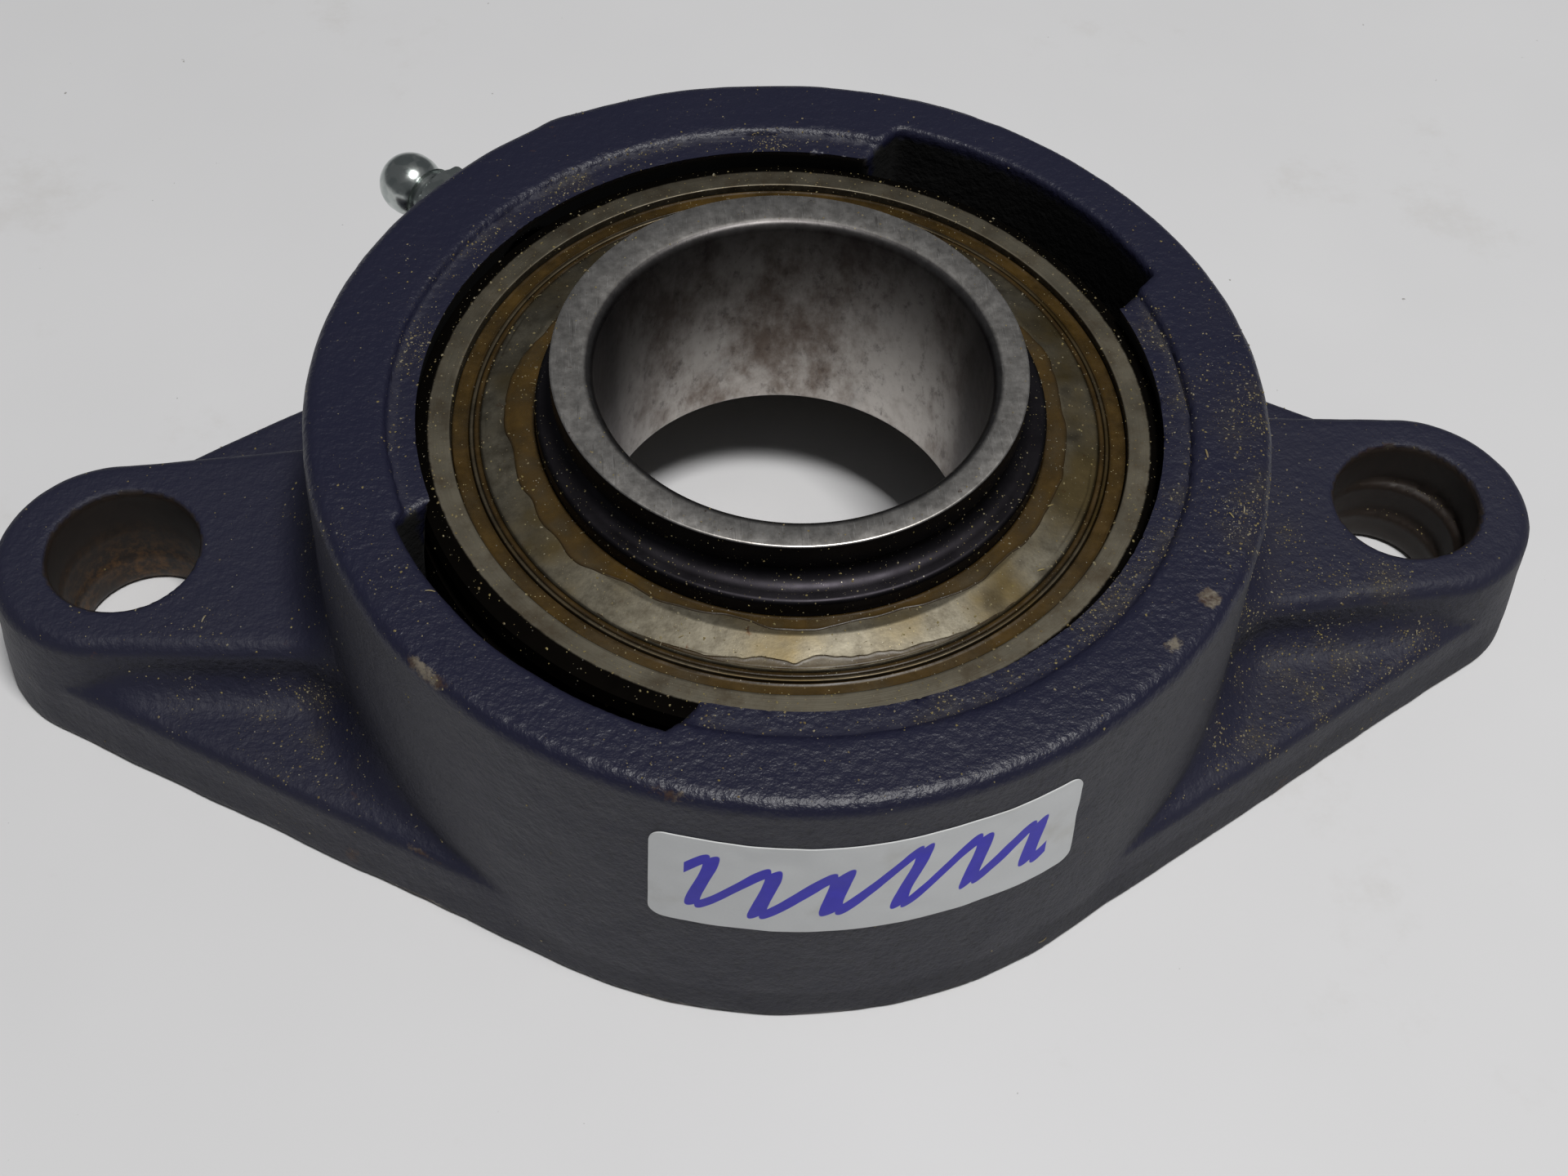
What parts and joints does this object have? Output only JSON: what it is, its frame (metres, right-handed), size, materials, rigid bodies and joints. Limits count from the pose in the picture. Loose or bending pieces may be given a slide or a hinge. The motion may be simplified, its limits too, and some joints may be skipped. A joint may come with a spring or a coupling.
{
  "type": "flange mount bearing",
  "caption": "Cast iron oval flange housing with bolt ears, holding a self-aligning sealed ball bearing insert with an eccentric cam end.",
  "frame": {"origin": "centre of the mounting face on the shaft's axis", "axes": "+X along the line of the bolt holes, +Z out of the mounting face along the shaft"},
  "size_m": [0.1586, 0.0934, 0.0375],
  "materials": {
    "painted_iron": "satin navy paint over sand-cast iron",
    "paper": "white paper label",
    "zinc_plate": "bright zinc plate",
    "bearing_steel": "polished bearing steel",
    "spring_steel": "drawn spring wire",
    "ground_steel": "ground, lightly oiled",
    "ring_steel": "ground faces, blued undercut",
    "pressed_steel": "pressed sheet, greasy",
    "flinger_steel": "pressed sheet with amber grease film",
    "cage_steel": "pressed sheet",
    "seal_rubber": "black nitrile rubber"
  },
  "bodies": {
    "housing": {"housing": "painted_iron", "paper_label": "paper", "nipple_body": "zinc_plate", "nipple_spring": "spring_steel"},
    "check_ball": {"nipple_check_ball": "bearing_steel"},
    "outer_ring": {"outer_ring": "ground_steel", "seal_shell_front": "pressed_steel", "seal_shell_rear": "pressed_steel", "seal_lip_front": "seal_rubber", "seal_lip_rear": "seal_rubber"},
    "inner_ring": {"inner_ring": "ring_steel", "flinger_front": "flinger_steel", "flinger_rear": "flinger_steel"},
    "cage": {"cage_front": "cage_steel", "cage_rear": "cage_steel", "cage_rivets": "cage_steel"},
    "ball_1": {"ball_1": "bearing_steel"},
    "ball_2": {"ball_2": "bearing_steel"},
    "ball_3": {"ball_3": "bearing_steel"},
    "ball_4": {"ball_4": "bearing_steel"},
    "ball_5": {"ball_5": "bearing_steel"},
    "ball_6": {"ball_6": "bearing_steel"},
    "ball_7": {"ball_7": "bearing_steel"},
    "ball_8": {"ball_8": "bearing_steel"},
    "ball_9": {"ball_9": "bearing_steel"}
  },
  "joints": [
    {"name": "insert_alignment", "type": "hinge", "parent": "housing", "child": "outer_ring", "pos_m": [0, 0, 0.0221], "axis": [1, 0, 0], "range_deg": [-2.5, 2.5]},
    {"name": "inner_ring_spin", "type": "hinge", "parent": "outer_ring", "child": "inner_ring", "pos_m": [0, 0, 0.0221], "axis": [0, 0, 1], "continuous": true},
    {"name": "cage_spin", "type": "hinge", "parent": "outer_ring", "child": "cage", "pos_m": [0, 0, 0.0221], "axis": [0, 0, 1], "continuous": true},
    {"name": "ball_1_spin", "type": "hinge", "parent": "cage", "child": "ball_1", "pos_m": [0.02675, 0, 0.0221], "axis": [0, 0, 1], "continuous": true},
    {"name": "ball_2_spin", "type": "hinge", "parent": "cage", "child": "ball_2", "pos_m": [0.02049, 0.01719, 0.0221], "axis": [0, 0, 1], "continuous": true},
    {"name": "ball_3_spin", "type": "hinge", "parent": "cage", "child": "ball_3", "pos_m": [0.00464, 0.02634, 0.0221], "axis": [0, 0, 1], "continuous": true},
    {"name": "ball_4_spin", "type": "hinge", "parent": "cage", "child": "ball_4", "pos_m": [-0.01337, 0.02316, 0.0221], "axis": [0, 0, 1], "continuous": true},
    {"name": "ball_5_spin", "type": "hinge", "parent": "cage", "child": "ball_5", "pos_m": [-0.02513, 0.00915, 0.0221], "axis": [0, 0, 1], "continuous": true},
    {"name": "ball_6_spin", "type": "hinge", "parent": "cage", "child": "ball_6", "pos_m": [-0.02513, -0.00915, 0.0221], "axis": [0, 0, 1], "continuous": true},
    {"name": "ball_7_spin", "type": "hinge", "parent": "cage", "child": "ball_7", "pos_m": [-0.01337, -0.02316, 0.0221], "axis": [0, 0, 1], "continuous": true},
    {"name": "ball_8_spin", "type": "hinge", "parent": "cage", "child": "ball_8", "pos_m": [0.00464, -0.02634, 0.0221], "axis": [0, 0, 1], "continuous": true},
    {"name": "ball_9_spin", "type": "hinge", "parent": "cage", "child": "ball_9", "pos_m": [0.02049, -0.01719, 0.0221], "axis": [0, 0, 1], "continuous": true},
    {"name": "check_ball_slide", "type": "slide", "parent": "housing", "child": "check_ball", "axis": [0.7071, -0.7071, 0], "range_m": [0, 0.0009], "stiffness_N_per_m": 200, "springref_m": -0.002, "deforming": ["nipple_spring"]}
  ],
  "couplings": [
    {"joint": "cage_spin", "follows": "inner_ring_spin", "ratio": 0.39613},
    {"joint": "ball_1_spin", "follows": "inner_ring_spin", "ratio": -2.3031},
    {"joint": "ball_2_spin", "follows": "inner_ring_spin", "ratio": -2.3031},
    {"joint": "ball_3_spin", "follows": "inner_ring_spin", "ratio": -2.3031},
    {"joint": "ball_4_spin", "follows": "inner_ring_spin", "ratio": -2.3031},
    {"joint": "ball_5_spin", "follows": "inner_ring_spin", "ratio": -2.3031},
    {"joint": "ball_6_spin", "follows": "inner_ring_spin", "ratio": -2.3031},
    {"joint": "ball_7_spin", "follows": "inner_ring_spin", "ratio": -2.3031},
    {"joint": "ball_8_spin", "follows": "inner_ring_spin", "ratio": -2.3031},
    {"joint": "ball_9_spin", "follows": "inner_ring_spin", "ratio": -2.3031}
  ]
}
